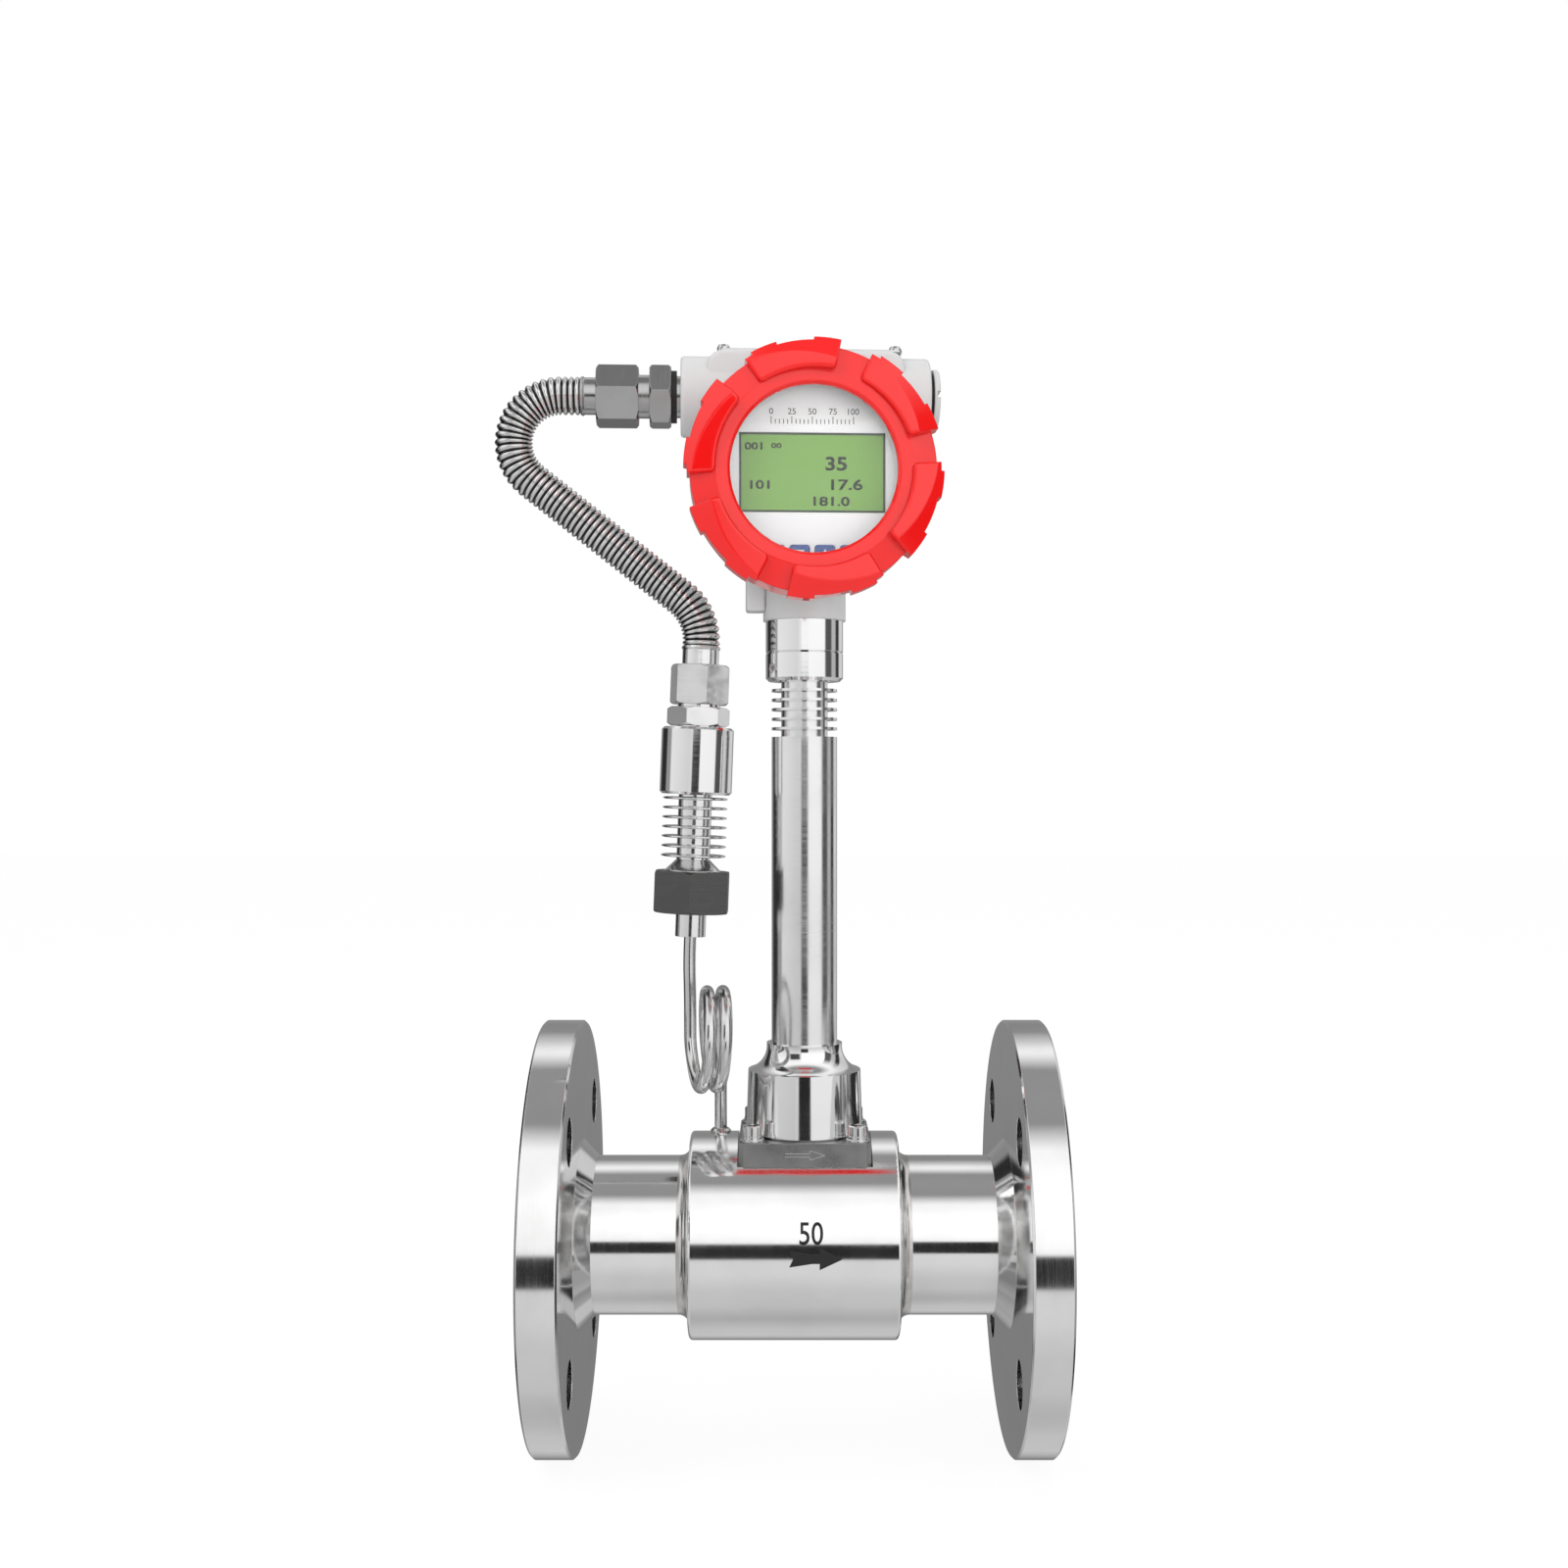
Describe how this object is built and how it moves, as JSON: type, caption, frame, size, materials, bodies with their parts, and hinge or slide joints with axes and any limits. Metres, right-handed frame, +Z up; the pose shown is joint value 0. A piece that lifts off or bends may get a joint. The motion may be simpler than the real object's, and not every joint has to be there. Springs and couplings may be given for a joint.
{
  "type": "steam flow meter",
  "caption": "Flanged vortex steam flow meter with a swivelling display head on a finned stem, and a pressure sensor on a siphon tube, wired through a corrugated conduit.",
  "frame": {"origin": "centre of the inlet flange's raised face, on the axis of the bore", "axes": "+X the way the steam flows, +Z up along the stem, the display looks along -Y"},
  "size_m": [0.2154, 0.165, 0.4256],
  "materials": {
    "polished_steel": "polished",
    "fastener_steel": "satin",
    "fitting_steel": "satin",
    "siphon_steel": "satin",
    "conduit_steel": "satin",
    "grey_paint": "satin",
    "red_paint": "gloss",
    "bare_aluminium": "satin",
    "black_rubber": "matte",
    "seal_white": "matte",
    "clear_glass": "gloss",
    "panel_white": "satin",
    "screen_green": "gloss",
    "key_blue": "gloss",
    "board_green": "satin",
    "terminal_black": "matte",
    "post_brass": "satin",
    "cell_steel": "satin"
  },
  "bodies": {
    "meter": {"meter_body": "polished_steel", "neck_inlet": "polished_steel", "neck_outlet": "polished_steel", "weld_rings": "polished_steel", "flange_inlet": "polished_steel", "flange_outlet": "polished_steel", "bluff_body": "polished_steel", "vortex_probe": "polished_steel", "mount_plate": "polished_steel", "bonnet": "polished_steel", "stem": "polished_steel", "plate_screws": "fastener_steel", "plate_washers": "fastener_steel", "sensor_stub": "fitting_steel", "sensor_nut": "fitting_steel", "cooler": "fitting_steel", "sensor_body": "fitting_steel", "lock_nut": "fitting_steel", "lower_union_nut": "fitting_steel", "lower_ferrule": "fitting_steel", "siphon_tube": "siphon_steel", "tap_collar": "siphon_steel", "conduit_hose": "conduit_steel", "probe_seal": "seal_white", "pressure_cell": "cell_steel"},
    "head": {"housing": "grey_paint", "collar": "polished_steel", "set_screw": "fastener_steel", "ground_screw": "fastener_steel", "nameplate": "bare_aluminium", "nameplate_screws": "fastener_steel", "display_plate": "panel_white", "lcd_module": "screen_green", "display_board": "board_green", "main_board": "board_green", "standoffs": "post_brass", "terminal_block": "terminal_black", "terminal_screws": "fastener_steel", "feedthrough": "terminal_black", "blind_plug": "fitting_steel", "plug_seal": "black_rubber", "gland_body": "fitting_steel", "gland_seal": "black_rubber", "union_nut": "fitting_steel", "ferrule": "fitting_steel"},
    "front_seal": {"front_o_ring": "black_rubber"},
    "front_cover": {"front_cover": "red_paint", "window_glass": "clear_glass", "window_seal": "black_rubber", "window_retainer": "bare_aluminium"},
    "rear_seal": {"rear_o_ring": "black_rubber"},
    "rear_cover": {"rear_cover": "red_paint"},
    "key_1": {"key_1": "key_blue"},
    "key_2": {"key_2": "key_blue"},
    "key_3": {"key_3": "key_blue"},
    "key_4": {"key_4": "key_blue"}
  },
  "joints": [
    {"name": "head_swivel", "type": "hinge", "parent": "meter", "child": "head", "pos_m": [0.1041, 0, 0.288], "axis": [0, 0, 1], "range_deg": [-30, 30], "deforming": ["conduit_hose"]},
    {"name": "front_cover_travel", "type": "slide", "parent": "head", "child": "front_seal", "axis": [0.0523, -0.9986, 0], "range_m": [0, 0.008]},
    {"name": "front_cover_turn", "type": "hinge", "parent": "front_seal", "child": "front_cover", "pos_m": [0.1041, 0, 0.288], "axis": [0.0523, -0.9986, 0], "range_deg": [0, 1440]},
    {"name": "rear_cover_travel", "type": "slide", "parent": "head", "child": "rear_seal", "axis": [-0.0523, 0.9986, 0], "range_m": [0, 0.008]},
    {"name": "rear_cover_turn", "type": "hinge", "parent": "rear_seal", "child": "rear_cover", "pos_m": [0.1041, 0, 0.288], "axis": [-0.0523, 0.9986, 0], "range_deg": [0, 1440]},
    {"name": "key_1_press", "type": "slide", "parent": "head", "child": "key_1", "axis": [-0.0523, 0.9986, 0], "range_m": [0, 0.0005], "stiffness_N_per_m": 2000, "springref_m": -0.0001},
    {"name": "key_2_press", "type": "slide", "parent": "head", "child": "key_2", "axis": [-0.0523, 0.9986, 0], "range_m": [0, 0.0005], "stiffness_N_per_m": 2000, "springref_m": -0.0001},
    {"name": "key_3_press", "type": "slide", "parent": "head", "child": "key_3", "axis": [-0.0523, 0.9986, 0], "range_m": [0, 0.0005], "stiffness_N_per_m": 2000, "springref_m": -0.0001},
    {"name": "key_4_press", "type": "slide", "parent": "head", "child": "key_4", "axis": [-0.0523, 0.9986, 0], "range_m": [0, 0.0005], "stiffness_N_per_m": 2000, "springref_m": -0.0001}
  ],
  "couplings": [
    {"joint": "front_cover_travel", "follows": "front_cover_turn", "m_per_rad": 0.0003183},
    {"joint": "rear_cover_travel", "follows": "rear_cover_turn", "m_per_rad": 0.0003183}
  ]
}
